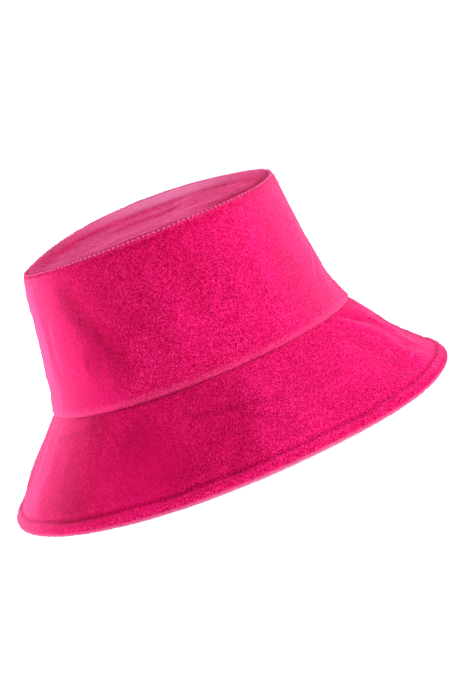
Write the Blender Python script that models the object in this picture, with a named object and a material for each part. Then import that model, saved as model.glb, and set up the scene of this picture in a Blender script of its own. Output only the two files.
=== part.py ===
"""A terry-towelling bucket hat, built from the pieces it is cut and sewn from.

Frame: +Z up along the crown, origin at the middle of the brim edge's plane, front of the hat towards -Y.
Every cloth piece is a closed shell swept round the hat's axis from a section in the (radius, height)
plane, so that all layers share one set of columns and stay an even gap apart.
"""

import math

import bmesh
import bpy
from mathutils import Vector

# Driving dimensions, in metres.
HEAD_CIRCUMFERENCE = 0.570  # inside of the sweatband at the head seam
CROWN_HEIGHT = 0.0907  # head seam to tip rim, mean of front and back
CROWN_LEAN = 0.0148  # how far the crown wall leans in over that height
TIP_RISE = 0.0044  # how much the tip rim stands above its mean at the back, and below it at the front
TIP_DISH = 0.0060  # how far the tip sinks inside its rim
TIP_DISH_WIDTH = 0.0120  # width of the slope from rim to dish
TIP_CORNER = 0.0030  # radius of the rounded tip rim
BRIM_REACH = 0.0486  # how far the brim edge stands out past the crown's foot
BRIM_DROP = 0.0560  # head seam above the brim edge's plane

# Cloth thicknesses.
TERRY = 0.0020
CROWN_INTERLINING = 0.0006
BRIM_INTERLINING = 0.0008
LINING = 0.0005
SEAM_TAPE = 0.0005
SWEATBAND = 0.0009
THREAD = 0.0005

# Widths, insets and clearances.
SWEATBAND_HEIGHT = 0.0280
TAPE_WIDTH = 0.0120
SEAM_COVER = 0.0040  # how far tape and sweatband reach below the head seam
EDGE_STITCH_INSET = 0.0080  # topstitching to the brim's outer edge, along the brim
STITCH_GROOVE = 0.0012  # depth of the groove that the topstitching pulls into the terry
SEAM_STEP = 0.0013  # how far the brim starts inside the crown's foot
CROWN_ROLL = 0.0010  # chamfer on the crown wall's lower edge
TIP_SEAM_CHAMFER = 0.0008
BRIM_EDGE_TURN = 0.0030  # how far the top brim cloth turns back under the brim
LABEL_WIDTH = 0.0250
LABEL_LENGTH = 0.0400
LABEL_THICKNESS = 0.0008
LABEL_DROP = 0.0015  # hinge edge of the label below the lining's tip
GAP = 0.0004  # between neighbouring cloths
EDGE_FLAT = math.radians(18)  # half the arc of the brim edge that rests on a table

COLUMNS = 48  # round the whole hat
THREAD_SIDES = 6
SMOOTH_ANGLE = math.radians(32)

# Colours, linear, with roughness.
TERRY_PINK = ((0.760, 0.010, 0.140), 0.95)
LINING_PINK = ((0.620, 0.012, 0.120), 0.75)
BAND_PINK = ((0.560, 0.010, 0.110), 0.65)
FELT_WHITE = ((0.780, 0.770, 0.740), 0.90)
TAPE_WHITE = ((0.820, 0.800, 0.770), 0.80)
THREAD_PINK = ((0.700, 0.012, 0.130), 0.55)
LABEL_WHITE = ((0.850, 0.840, 0.820), 0.60)

# Radii of the crown wall's layers at the head seam, worked outwards from the head.
SWEATBAND_INNER = HEAD_CIRCUMFERENCE / (2 * math.pi)
SWEATBAND_OUTER = SWEATBAND_INNER + SWEATBAND
TAPE_INNER = SWEATBAND_OUTER + GAP
TAPE_OUTER = TAPE_INNER + SEAM_TAPE
LINING_INNER = TAPE_OUTER + GAP
LINING_OUTER = LINING_INNER + LINING
INTERLINING_INNER = LINING_OUTER + GAP
INTERLINING_OUTER = INTERLINING_INNER + CROWN_INTERLINING
CROWN_INNER = INTERLINING_OUTER + GAP
CROWN_OUTER = CROWN_INNER + TERRY

# Depths of the tip's layers below its top surface.
TIP_INTERLINING_TOP = TERRY + GAP
TIP_INTERLINING_FOOT = TIP_INTERLINING_TOP + CROWN_INTERLINING
TIP_LINING_TOP = TIP_INTERLINING_FOOT + GAP
TIP_LINING_FOOT = TIP_LINING_TOP + LINING

# The brim's layers lie each side of its middle line, which starts at the middle of its round edge.
BRIM_THICKNESS = 2 * TERRY + 2 * GAP + BRIM_INTERLINING
BRIM_HALF = BRIM_THICKNESS / 2
EDGE_CENTRE = Vector((CROWN_OUTER + BRIM_REACH - BRIM_HALF, BRIM_HALF * math.cos(EDGE_FLAT)))
BRIM_START = Vector((CROWN_OUTER - SEAM_STEP, BRIM_DROP))
BRIM_SPAN = BRIM_START - EDGE_CENTRE
BRIM_ANGLE = math.atan2(BRIM_SPAN.y, BRIM_SPAN.x) + math.asin(BRIM_HALF / BRIM_SPAN.length)
UP_BRIM = Vector((math.cos(BRIM_ANGLE), math.sin(BRIM_ANGLE)))
OFF_BRIM = Vector((UP_BRIM.y, -UP_BRIM.x))


def rim_height(azimuth):
    """Height of the tip's rim: the back stands a little above the front."""
    return BRIM_DROP + CROWN_HEIGHT + TIP_RISE * math.sin(azimuth)


def side_top(azimuth):
    """Height at which the crown wall's layers end, under the tip."""
    return rim_height(azimuth) - TIP_CORNER - GAP


def backing_top(azimuth):
    """Height at which the layers behind the crown wall end, clear of the tip's own layers."""
    return side_top(azimuth) - TIP_CORNER / 3


def wall_radius(foot_radius, height):
    """Radius at a height of a wall layer whose radius at the head seam is foot_radius."""
    risen = max(0.0, height - BRIM_DROP) / CROWN_HEIGHT
    return foot_radius - CROWN_LEAN * risen


def wall_layer(inner, outer, low, high):
    """Section of a wall layer from low to high, bent at the head seam where it crosses it."""
    heights = [low, high]
    if low < BRIM_DROP < high:
        heights.insert(1, BRIM_DROP)
    outside = [(wall_radius(outer, height), height) for height in heights]
    inside = [(wall_radius(inner, height), height) for height in reversed(heights)]
    return outside + inside


def crown_side_section(azimuth):
    """The terry wall, chamfered where it rolls in at the head seam and at the tip seam."""
    low = BRIM_DROP + GAP
    high = side_top(azimuth)
    middle = (low + high) / 2
    outside = [
        (wall_radius(CROWN_OUTER, low) - CROWN_ROLL, low),
        (wall_radius(CROWN_OUTER, low + CROWN_ROLL), low + CROWN_ROLL),
        (wall_radius(CROWN_OUTER, middle), middle),
        (wall_radius(CROWN_OUTER, high - TIP_SEAM_CHAMFER), high - TIP_SEAM_CHAMFER),
        (wall_radius(CROWN_OUTER, high) - TIP_SEAM_CHAMFER, high),
    ]
    inside = [(wall_radius(CROWN_INNER, height), height) for height in (high, middle, low)]
    return outside + inside


def crown_interlining_section(azimuth):
    return wall_layer(INTERLINING_INNER, INTERLINING_OUTER, BRIM_DROP + GAP, backing_top(azimuth))


def lining_side_section(azimuth):
    return wall_layer(LINING_INNER, LINING_OUTER, BRIM_DROP + GAP, backing_top(azimuth))


def tape_section(azimuth):
    foot = BRIM_DROP - SEAM_COVER
    return wall_layer(TAPE_INNER, TAPE_OUTER, foot, foot + TAPE_WIDTH)


def sweatband_section(azimuth):
    foot = BRIM_DROP - SEAM_COVER
    return wall_layer(SWEATBAND_INNER, SWEATBAND_OUTER, foot, foot + SWEATBAND_HEIGHT)


def rim_radius(azimuth):
    """Outer radius of the tip where it meets the crown wall."""
    return wall_radius(CROWN_OUTER, rim_height(azimuth) - TIP_CORNER)


def tip_height(radius, azimuth):
    """Height of the tip's top surface inside its rounded rim."""
    edge = rim_radius(azimuth) - TIP_CORNER
    slope = min(1.0, max(0.0, (edge - radius) / TIP_DISH_WIDTH))
    tilt = TIP_RISE * math.sin(azimuth) * radius / edge
    return BRIM_DROP + CROWN_HEIGHT + tilt - TIP_DISH * slope * slope * (3 - 2 * slope)


def tip_line(azimuth, outermost, depth):
    """Points of a tip surface, depth below the top, from its outermost radius in to near the axis."""
    edge = rim_radius(azimuth) - TIP_CORNER
    steps = [outermost]
    steps += [edge - TIP_DISH_WIDTH * share for share in (0.3, 0.5, 0.75, 1.0)]
    steps += [edge * share for share in (0.55, 0.25)]
    return [(radius, tip_height(radius, azimuth) - depth) for radius in steps]


def crown_tip_lines(azimuth):
    """Top and foot of the terry tip, whose rounded rim turns down to the crown wall."""
    rim = rim_radius(azimuth)
    centre = Vector((rim - TIP_CORNER, rim_height(azimuth) - TIP_CORNER))
    turns = [math.radians(90 * step / 3) for step in range(3)]
    outer = [tuple(centre + TIP_CORNER * Vector((math.cos(turn), math.sin(turn)))) for turn in turns]
    inner_radius = TIP_CORNER - TERRY
    inner = [tuple(centre + inner_radius * Vector((math.cos(turn), math.sin(turn)))) for turn in turns]
    return outer + tip_line(azimuth, centre.x, 0.0), inner + tip_line(azimuth, centre.x, TERRY)


def tip_interlining_lines(azimuth):
    outermost = rim_radius(azimuth) - TIP_CORNER - GAP
    return (
        tip_line(azimuth, outermost, TIP_INTERLINING_TOP),
        tip_line(azimuth, outermost, TIP_INTERLINING_FOOT),
    )


def lining_tip_lines(azimuth):
    wall = wall_radius(LINING_INNER, rim_height(azimuth) - TIP_CORNER)
    outermost = min(wall, rim_radius(azimuth) - TIP_CORNER) - GAP
    return tip_line(azimuth, outermost, TIP_LINING_TOP), tip_line(azimuth, outermost, TIP_LINING_FOOT)


def brim_point(offset, along):
    """A point of the brim: offset from its middle line, and along it from the round edge's centre."""
    return EDGE_CENTRE + offset * OFF_BRIM + along * UP_BRIM


def brim_end(offset):
    """How far along the brim a surface runs: to the head seam's height, or to the tape behind it."""
    start = brim_point(offset, 0.0)
    to_seam = (BRIM_DROP - start.y) / UP_BRIM.y
    to_tape = (start.x - LINING_INNER) / -UP_BRIM.x
    return min(to_seam, to_tape)


def edge_arc(radius, offset_to):
    """The brim's round edge, from its upper surface round to its under surface, flat where it rests."""
    start = BRIM_ANGLE - math.pi / 2
    resting = [-math.pi / 2 + EDGE_FLAT, -math.pi / 2 - EDGE_FLAT]
    turns = [start + (resting[0] - start) * step / 4 for step in range(4)] + resting
    turns.append(BRIM_ANGLE - 3 * math.pi / 2)
    arc = [EDGE_CENTRE + radius * Vector((math.cos(turn), math.sin(turn))) for turn in turns]
    return arc + [brim_point(-radius, offset_to)]


def groove(offset, along, depth):
    """Three points of the groove that a stitch row pulls into a surface."""
    half = abs(depth)
    return [
        brim_point(offset, along - half),
        brim_point(offset - depth, along),
        brim_point(offset, along + half),
    ]


STITCH_ALONG = EDGE_STITCH_INSET - BRIM_HALF


def brim_top_section(azimuth):
    """The upper terry: from the head seam down the brim, round its edge and back a little way under it."""
    outside = [brim_point(BRIM_HALF, brim_end(BRIM_HALF)), brim_point(BRIM_HALF, brim_end(BRIM_HALF) / 2)]
    outside += reversed(groove(BRIM_HALF, STITCH_ALONG, STITCH_GROOVE))
    outside += edge_arc(BRIM_HALF, BRIM_EDGE_TURN)
    lower = BRIM_HALF - TERRY
    inside = list(reversed(edge_arc(lower, BRIM_EDGE_TURN)))
    inside += [brim_point(lower, brim_end(lower) / 2), brim_point(lower, brim_end(lower))]
    if inside[-1].y < BRIM_DROP:
        inside.append(Vector((LINING_INNER, BRIM_DROP)))
    return [tuple(point) for point in outside + inside]


def brim_interlining_section(azimuth):
    half = BRIM_INTERLINING / 2
    start = GAP
    upper = [brim_point(half, brim_end(half)), brim_point(half, start)]
    under = [brim_point(-half, start), brim_point(-half, brim_end(-half))]
    return [tuple(point) for point in upper + under]


def brim_under_section(azimuth):
    start = BRIM_EDGE_TURN + GAP
    upper = TERRY - BRIM_HALF
    points = [brim_point(upper, brim_end(upper)), brim_point(upper, start), brim_point(-BRIM_HALF, start)]
    points += groove(-BRIM_HALF, STITCH_ALONG, -STITCH_GROOVE)
    points.append(brim_point(-BRIM_HALF, brim_end(-BRIM_HALF)))
    return [tuple(point) for point in points]


def clear_scene():
    for old in list(bpy.data.objects):
        bpy.data.objects.remove(old, do_unlink=True)


def dress(piece, look):
    """Give a piece its own material and smooth shading, with its real edges kept sharp."""
    colour, roughness = look
    material = bpy.data.materials.new(piece.name)
    material.use_nodes = True
    shader = material.node_tree.nodes["Principled BSDF"]
    shader.inputs["Base Color"].default_value = (*colour, 1.0)
    shader.inputs["Roughness"].default_value = roughness
    shader.inputs["Metallic"].default_value = 0.0
    material.diffuse_color = (*colour, 1.0)
    piece.data.materials.append(material)
    piece.data.shade_smooth()
    piece.data.set_sharp_from_angle(angle=SMOOTH_ANGLE)


def finish(name, shape, look):
    """Turn a closed bmesh into a named piece with its faces pointing out."""
    bmesh.ops.recalc_face_normals(shape, faces=shape.faces)
    mesh = bpy.data.meshes.new(name)
    shape.to_mesh(mesh)
    shape.free()
    piece = bpy.data.objects.new(name, mesh)
    bpy.context.scene.collection.objects.link(piece)
    dress(piece, look)
    return piece


def ring_azimuths():
    return [2 * math.pi * step / COLUMNS for step in range(COLUMNS)]


def add_column(shape, section, azimuth):
    return [
        shape.verts.new((radius * math.cos(azimuth), radius * math.sin(azimuth), height))
        for radius, height in section(azimuth)
    ]


def add_seam_column(shape, section, azimuth, side):
    """A column cut square to the side seam, half a gap short of it."""
    back_off = side * GAP / 2
    column = []
    for radius, height in section(azimuth):
        across = math.sqrt(radius * radius - back_off * back_off)
        column.append(shape.verts.new((math.copysign(across, math.cos(azimuth)), back_off, height)))
    return column


def bridge(shape, column, following):
    count = len(column)
    for low in range(count):
        high = (low + 1) % count
        shape.faces.new((column[low], column[high], following[high], following[low]))


def ring_piece(name, section, look):
    """A piece that runs all the way round."""
    shape = bmesh.new()
    columns = [add_column(shape, section, azimuth) for azimuth in ring_azimuths()]
    for column, following in zip(columns, columns[1:] + columns[:1]):
        bridge(shape, column, following)
    return finish(name, shape, look)


def half_piece(name, section, look, side):
    """A front (side -1) or back (side +1) panel, from one side seam round to the other."""
    shape = bmesh.new()
    turns = [side * math.pi * step / (COLUMNS // 2) for step in range(COLUMNS // 2 + 1)]
    columns = [add_seam_column(shape, section, turns[0], side)]
    columns += [add_column(shape, section, azimuth) for azimuth in turns[1:-1]]
    columns.append(add_seam_column(shape, section, turns[-1], side))
    for column, following in zip(columns, columns[1:]):
        bridge(shape, column, following)
    shape.faces.new(columns[0])
    shape.faces.new(columns[-1])
    return finish(name, shape, look)


def disc_piece(name, lines, look):
    """A round panel: a top and a foot surface, each closed by a point on the axis."""
    shape = bmesh.new()
    columns = [
        add_column(shape, lambda angle: lines(angle)[0] + lines(angle)[1][::-1], azimuth)
        for azimuth in ring_azimuths()
    ]
    top_height = sum(column[len(column) // 2 - 1].co.z for column in columns) / COLUMNS
    foot_height = sum(column[len(column) // 2].co.z for column in columns) / COLUMNS
    top = shape.verts.new((0.0, 0.0, top_height))
    foot = shape.verts.new((0.0, 0.0, foot_height))
    for column, following in zip(columns, columns[1:] + columns[:1]):
        count = len(column)
        half = count // 2
        for low in range(count):
            high = (low + 1) % count
            if low == half - 1:
                continue
            shape.faces.new((column[low], column[high], following[high], following[low]))
        shape.faces.new((column[half - 1], top, following[half - 1]))
        shape.faces.new((column[half], following[half], foot))
    return finish(name, shape, look)


def thread_piece(name, centre, look):
    """A stitch row's thread: a thin ring whose centre, as radius and height, may rise round the hat."""

    def section(azimuth):
        middle = Vector(centre(azimuth))
        turns = [2 * math.pi * step / THREAD_SIDES for step in range(THREAD_SIDES)]
        return [tuple(middle + THREAD / 2 * Vector((math.cos(turn), math.sin(turn)))) for turn in turns]

    return ring_piece(name, section, look)


def tip_seam_line(azimuth):
    """The tip seam's thread lies in the notch between the tip and the wall's chamfered top."""
    height = side_top(azimuth)
    return wall_radius(CROWN_OUTER, height) - THREAD / 4, height + GAP / 2 - TIP_SEAM_CHAMFER / 4


def head_seam_line(azimuth):
    """The head seam's thread lies under the crown's rolled foot."""
    return CROWN_OUTER - CROWN_ROLL / 2, BRIM_DROP


def edge_stitch_line(azimuth):
    return tuple(brim_point(BRIM_HALF - STITCH_GROOVE / 3 + THREAD / 4, STITCH_ALONG))


def edge_bobbin_line(azimuth):
    return tuple(brim_point(-BRIM_HALF + STITCH_GROOVE / 3 - THREAD / 4, STITCH_ALONG))


def sweatband_stitch_line(azimuth):
    return SWEATBAND_INNER - GAP - THREAD / 2, BRIM_DROP - SEAM_COVER / 2


def care_label_piece():
    """A blank label caught in the lining's tip seam at the back, hanging plumb from its upper edge."""
    back = math.pi / 2
    half_width = LABEL_WIDTH / 2
    half_thick = LABEL_THICKNESS / 2
    wall = wall_radius(LINING_INNER, rim_height(back) - TIP_CORNER)
    hinge_y = math.sqrt(wall * wall - half_width * half_width) - 2 * GAP - half_thick
    hinge_z = tip_height(hinge_y, back) - TIP_LINING_FOOT - LABEL_DROP
    shape = bmesh.new()
    outline = [(half_thick * math.cos(turn), half_thick * math.sin(turn)) for turn in
               (math.radians(45 * step) for step in range(5))]
    outline += [(-half_thick, -LABEL_LENGTH), (half_thick, -LABEL_LENGTH)]
    ends = [[shape.verts.new((x, y, z)) for y, z in outline] for x in (-half_width, half_width)]
    bridge(shape, ends[0], ends[1])
    shape.faces.new(ends[0])
    shape.faces.new(ends[1])
    label = finish("care_label", shape, LABEL_WHITE)
    label.location = (0.0, hinge_y, hinge_z)
    return label


def crown():
    disc_piece("crown_tip", crown_tip_lines, TERRY_PINK)
    disc_piece("crown_tip_interlining", tip_interlining_lines, FELT_WHITE)
    disc_piece("lining_tip", lining_tip_lines, LINING_PINK)
    for word, side in (("front", -1), ("back", 1)):
        half_piece(f"crown_side_{word}", crown_side_section, TERRY_PINK, side)
        half_piece(f"crown_interlining_{word}", crown_interlining_section, FELT_WHITE, side)
        half_piece(f"lining_side_{word}", lining_side_section, LINING_PINK, side)


def brim():
    for word, side in (("front", -1), ("back", 1)):
        half_piece(f"brim_top_{word}", brim_top_section, TERRY_PINK, side)
        half_piece(f"brim_interlining_{word}", brim_interlining_section, FELT_WHITE, side)
        half_piece(f"brim_under_{word}", brim_under_section, TERRY_PINK, side)


def head_band():
    ring_piece("head_seam_tape", tape_section, TAPE_WHITE)
    ring_piece("sweatband", sweatband_section, BAND_PINK)


def threads():
    thread_piece("tip_seam_thread", tip_seam_line, THREAD_PINK)
    thread_piece("head_seam_thread", head_seam_line, THREAD_PINK)
    thread_piece("brim_edge_topstitch", edge_stitch_line, THREAD_PINK)
    thread_piece("brim_edge_bobbin_thread", edge_bobbin_line, THREAD_PINK)
    thread_piece("sweatband_stitch", sweatband_stitch_line, THREAD_PINK)


clear_scene()
crown()
brim()
head_band()
threads()
care_label_piece()
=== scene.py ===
"""Looks for the terry bucket hat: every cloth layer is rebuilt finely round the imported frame, in metres.

A place on the hat is a turn and a share. The turn, in radians, is 0 at the middle of the front (-Y) and
grows towards +X. The share runs from 0 at the head seam to 1 at the tip's rim up the crown wall, or to 1
at the edge out along the brim. Folds are lists of such places, with the turn in degrees.
"""

import math

import bmesh
import bpy
import numpy as np
from mathutils import Matrix, Vector


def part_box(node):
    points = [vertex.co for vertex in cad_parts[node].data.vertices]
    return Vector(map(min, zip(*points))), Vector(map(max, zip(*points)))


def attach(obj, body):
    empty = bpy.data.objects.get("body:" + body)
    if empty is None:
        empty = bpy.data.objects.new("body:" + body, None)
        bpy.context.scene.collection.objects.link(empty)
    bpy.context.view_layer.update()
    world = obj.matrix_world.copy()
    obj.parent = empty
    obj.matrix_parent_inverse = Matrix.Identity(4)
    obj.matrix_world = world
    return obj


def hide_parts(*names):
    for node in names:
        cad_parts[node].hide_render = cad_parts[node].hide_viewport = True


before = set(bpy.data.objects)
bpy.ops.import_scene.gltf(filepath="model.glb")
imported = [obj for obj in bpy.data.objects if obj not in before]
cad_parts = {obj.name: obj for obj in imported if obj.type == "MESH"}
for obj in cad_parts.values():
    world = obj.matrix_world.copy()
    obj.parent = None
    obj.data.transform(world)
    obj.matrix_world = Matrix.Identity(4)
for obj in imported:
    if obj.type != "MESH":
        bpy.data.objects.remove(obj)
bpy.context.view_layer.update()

MM = 0.001


def low(node):
    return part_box(node)[0]


def high(node):
    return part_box(node)[1]


# ---------------------------------------------------------------- sizes, from the frame

TERRY = 2.0 * MM
GAP = 0.4 * MM
BRIM_HALF = 2.8 * MM
TIP_CORNER = 3.0 * MM
CROWN_ROLL = 1.0 * MM
RIM_TURN = 2.3 * MM
TIP_EDGE = 3.1 * MM

SEAM_Z = low("crown_side_back").z - GAP
FOOT = (high("crown_side_back").x, SEAM_Z + GAP + CROWN_ROLL)
RIM_MEAN = high("crown_side_front").z + GAP + TIP_CORNER
RIM_RISE = high("crown_tip").z - RIM_MEAN
RIM_SADDLE = 2.0 * MM
WALL_SLOPE = (FOOT[0] - high("crown_tip").x) / (RIM_MEAN - TIP_CORNER - FOOT[1])
BRIM_EDGE = (high("brim_top_back").x - BRIM_HALF, 0.95 * BRIM_HALF)
BRIM_START = (FOOT[0] - CROWN_ROLL, SEAM_Z)
BRIM_SPAN = math.hypot(BRIM_START[0] - BRIM_EDGE[0], BRIM_START[1] - BRIM_EDGE[1])
BRIM_ANGLE = math.atan2(BRIM_START[1] - BRIM_EDGE[1], BRIM_START[0] - BRIM_EDGE[0])
BRIM_ANGLE += math.asin(BRIM_HALF / BRIM_SPAN)
UP_BRIM = (math.cos(BRIM_ANGLE), math.sin(BRIM_ANGLE))
OFF_BRIM = (UP_BRIM[1], -UP_BRIM[0])
DISH = 5.6 * MM
DISH_WIDTH = 8.5 * MM
LINING_DEPTH = FOOT[0] - high("lining_side_back").x
STITCH_INSET = 8.0 * MM
STITCH_LENGTH = 3.2 * MM

FUSIBLE = 0.6 * MM
LINING = 0.5 * MM
TAPE = 0.5 * MM
BAND = 0.9 * MM
# how deep each layer's outer face lies inside the crown wall's
FUSIBLE_AT = TERRY + GAP
LINING_AT = FUSIBLE_AT + FUSIBLE + GAP
TAPE_AT = LINING_AT + LINING + GAP
BAND_AT = TAPE_AT + TAPE + GAP

MEAN_WALL_RADIUS = 89.7 * MM
MEAN_BRIM_RADIUS = 118 * MM
TAPE_RADIUS = 90 * MM
RIM_SEAM_RADIUS = 83 * MM
HEAD_SEAM_RADIUS = 96.8 * MM
BAND_SEAM_RADIUS = 90.5 * MM
EDGE_SEAM_RADIUS = 138 * MM

# millimetres of cloth to one radian of turn, and from share 0 to share 1
WALL_ACROSS = 89.7
WALL_UP = 88.5
BRIM_ACROSS = 120.0
BRIM_UP = 67.0

# the terry's mesh, and the opening between its front and back panels
CELL = 1.05 * MM
SIDE_OPENING = 0.02 * MM
SIDES = (("front", -1), ("back", 1))


# ---------------------------------------------------------------- random fields and creases

def lattice(x, y, z, seed):
    """A repeatable random number from -1 to 1 at each whole-numbered place."""
    mixed = (x * 73856093) ^ (y * 19349663) ^ (z * 83492791) ^ (seed * 40503)
    mixed = (mixed ^ (mixed >> 13)) * 1274126177
    mixed = mixed ^ (mixed >> 16)
    return (mixed & 0xFFFF) / 32767.5 - 1.0


def bumps(points, size, seed):
    """A smooth random field from -1 to 1 whose bumps are about size across."""
    place = np.asarray(points) / size
    cell = np.floor(place).astype(np.int64)
    ease = place - cell
    ease = ease * ease * (3 - 2 * ease)
    total = 0.0
    for corner in range(8):
        step = np.array([corner & 1, corner >> 1 & 1, corner >> 2 & 1])
        weight = np.where(step == 1, ease, 1 - ease).prod(axis=-1)
        total = total + weight * lattice(*np.moveaxis(cell + step, -1, 0), seed)
    return total


def smooth(value, start, end):
    """0 before start, 1 after end, and smooth in between."""
    part = np.clip((value - start) / (end - start), 0.0, 1.0)
    return part * part * (3 - 2 * part)


def hump(value, middle, half):
    """1 where value is middle, falling to 0 about half away."""
    return np.exp(-(((value - middle) / half) ** 2))


def near_path(across, up, path):
    """Distance to a path, negative on its right, and the share of the path passed."""
    spans = [math.dist(a, b) for a, b in zip(path, path[1:])]
    best = np.full(np.shape(across), 1e9)
    side = np.zeros_like(best)
    passed = np.zeros_like(best)
    done = 0.0
    for (x0, y0), (x1, y1), span in zip(path, path[1:], spans):
        ahead = ((across - x0) * (x1 - x0) + (up - y0) * (y1 - y0)) / span
        on = np.clip(ahead, 0.0, span)
        away = np.hypot(across - x0 - on * (x1 - x0) / span, up - y0 - on * (y1 - y0) / span)
        left = (x1 - x0) * (up - y0) - (y1 - y0) * (across - x0)
        nearer = away < best
        best = np.where(nearer, away, best)
        side = np.where(nearer, np.sign(left), side)
        passed = np.where(nearer, (done + on) / sum(spans), passed)
        done += span
    return best * side, passed


def crease(across, up, path, width, depth, lip=0.0):
    """A crease along path, in millimetres: a valley, or a ridge if depth is negative. Lip lifts its left."""
    away, passed = near_path(across, up, path)
    fade = smooth(passed, 0.0, 0.25) * smooth(passed, 1.0, 0.75)
    valley = -depth * hump(away, 0.0, width)
    ridge = lip * hump(away, 1.7 * width, width)
    return (valley + ridge) * fade


def wrapped(turn):
    return (turn + math.pi) % (2 * math.pi) - math.pi


# (places as (turn in degrees, share), width, depth, lip on the left), in millimetres
WALL_FOLDS = [
    ([(-48, 0.99), (-42, 0.68), (-35, 0.49), (-27.5, 0.33), (-25, 0.12)], 8.0, 1.35, 0.2),
    ([(-45, 0.34), (-40, 0.33), (-35, 0.31)], 7.0, 0.7, 0.0),
    ([(-24, 0.51), (-20, 0.49), (-15, 0.46)], 5.0, 0.6, 0.0),
    ([(57.5, 0.27), (64, 0.38), (72.5, 0.48)], 2.0, -0.6, 0.0),
    ([(60, 0.22), (68, 0.36), (76, 0.42)], 2.6, 0.5, 0.0),
    ([(-63, 0.72), (-64, 0.47), (-62, 0.28)], 3.4, 0.8, 0.2),
    ([(10, 0.85), (7, 0.55), (9, 0.30)], 5.0, 0.45, 0.0),
    ([(32, 0.80), (29, 0.45), (31, 0.16)], 6.0, 0.45, 0.0),
    ([(101, 0.86), (112, 0.55), (118, 0.24)], 3.6, 1.2, 0.4),
    ([(150, 0.20), (158, 0.42), (171, 0.55)], 3.0, 0.9, 0.3),
    ([(-168, 0.80), (-160, 0.52), (-157, 0.30)], 3.4, 1.1, 0.4),
    ([(-118, 0.25), (-126, 0.40), (-139, 0.47)], 2.8, 0.9, 0.3),
]

BRIM_FOLDS = [
    ([(-15, 0.27), (2.5, 0.33), (14, 0.42), (22.5, 0.53)], 2.4, 0.8, 0.2),
    ([(2.5, 0.40), (8, 0.50), (14, 0.59)], 2.2, 0.5, 0.0),
    ([(-69, 0.22), (-59, 0.16), (-44, 0.14)], 2.6, 0.6, 0.0),
    ([(-49, 0.04), (-44, 0.05), (-39, 0.04)], 1.2, 0.5, 0.0),
    ([(-49, 0.10), (-44, 0.11), (-40, 0.10)], 1.3, 0.5, 0.0),
    ([(-48, 0.20), (-43, 0.21), (-40, 0.20)], 1.3, 0.4, 0.0),
    ([(54, 0.04), (61, 0.20), (67.5, 0.38)], 3.6, -1.0, 0.0),
    ([(60, 0.04), (67, 0.20), (73, 0.40)], 3.4, 0.9, 0.0),
    ([(104, 0.10), (112, 0.36), (115, 0.62)], 5.0, 1.0, 0.3),
    ([(140, 0.22), (150, 0.30), (163, 0.29)], 3.0, 0.8, 0.2),
    ([(-172, 0.12), (-166, 0.36), (-165, 0.60)], 4.5, -0.9, 0.0),
    ([(-132, 0.24), (-121, 0.31), (-110, 0.30)], 3.0, 0.8, 0.2),
]

# (places as (x, y), width, depth, lip), in millimetres on the tip
TIP_FOLDS = [
    ([(12, 24), (20, 21), (41, 3), (67, -12)], 6.0, -1.6, 0.0),
    ([(-40, -14), (-12, -20), (16, -30), (34, -38)], 6.0, 1.2, 0.0),
    ([(-58, 8), (-38, 14), (-14, 20)], 4.0, -0.8, 0.0),
    ([(-30, 40), (0, 46), (30, 42)], 5.0, 0.8, 0.3),
    ([(-48, -30), (-20, -44), (6, -52)], 3.5, -0.7, 0.0),
    ([(20, -8), (40, -22), (56, -30)], 3.0, 0.7, 0.2),
]

# painted shade on the tip: (places as (x, y), width), in millimetres on the tip, and how much darker
TIP_PAINTED_SHADE = [
    ([(-84, -30), (-50, -58), (0, -72), (46, -54), (84, -20)], 15.0, 0.12),
    ([(6, -58), (30, -46), (52, -32), (74, -8), (82, 12)], 20.0, 0.26),
    ([(-30, 70), (0, 73), (40, 62), (70, 34)], 3.6, 0.22),
    ([(-40, 4), (0, 12), (30, 10)], 6.0, -0.05),
    ([(28, 56), (52, 48), (66, 26)], 17.0, 0.15),
]


def folds(turn, share, listed, across_scale, up_scale):
    across = np.degrees(wrapped(turn)) * math.radians(across_scale)
    up = share * up_scale
    total = np.zeros(np.broadcast(turn, share).shape)
    for places, width, depth, lip in listed:
        path = [(math.radians(a) * across_scale, s * up_scale) for a, s in places]
        total += crease(across, up, path, width, depth, lip)
    return total * MM


def ring_points(turn, share, reach):
    """Points that let a random field run round the hat without a break."""
    level = np.broadcast_to(share, np.broadcast(turn, share).shape)
    return np.stack([np.sin(turn) * reach + 0 * level, -np.cos(turn) * reach + 0 * level, level], axis=-1)


def bell(turn, middle, half):
    """1 at the middle turn, both in degrees, falling to 0 about half away."""
    return hump(np.degrees(wrapped(turn - math.radians(middle))), 0.0, half)


# painted light and shade zones: (turn in degrees, share, half width in degrees, half height, lighter or
# darker)
WALL_PAINTED_SHADING = [
    (-78, 0.45, 18, 0.9, 0.03),
    (-32, 0.60, 17, 0.5, -0.12),
    (-38, 0.22, 13, 0.2, -0.06),
    (-10, 0.50, 18, 0.9, -0.10),
    (8, 0.08, 20, 0.2, -0.07),
    (9, 1.0, 18, 0.25, -0.18),
    (2, 0.72, 11, 0.35, -0.06),
    (66, 0.70, 22, 0.6, 0.05),
]
# how flat the grain lies, in the same columns
WALL_FLATTENED = [
    (-82, 0.50, 26, 9.0, 0.55),
    (-46, 0.20, 16, 0.4, 0.45),
]
BRIM_FLATTENED = [
    (-76, 0.60, 22, 9.0, 0.60),
    (-24, 0.60, 14, 0.5, 0.50),
]
# painted light and shade zones on the brim, in the same columns
BRIM_PAINTED_SHADING = [
    (-70, 0.75, 20, 0.9, -0.04),
    (-37, 0.50, 22, 0.9, -0.33),
    (-6, 0.50, 14, 0.9, -0.21),
    (66, 0.60, 24, 0.9, 0.10),
]
# where a painted pale sheen lies on the pile
WALL_PAINTED_SHEEN = [
    (-84, 0.50, 27, 9.0, 0.35),
    (70, 0.55, 22, 9.0, 0.14),
]
BRIM_PAINTED_SHEEN = [
    (-82, 0.70, 24, 9.0, 0.29),
]


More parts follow.
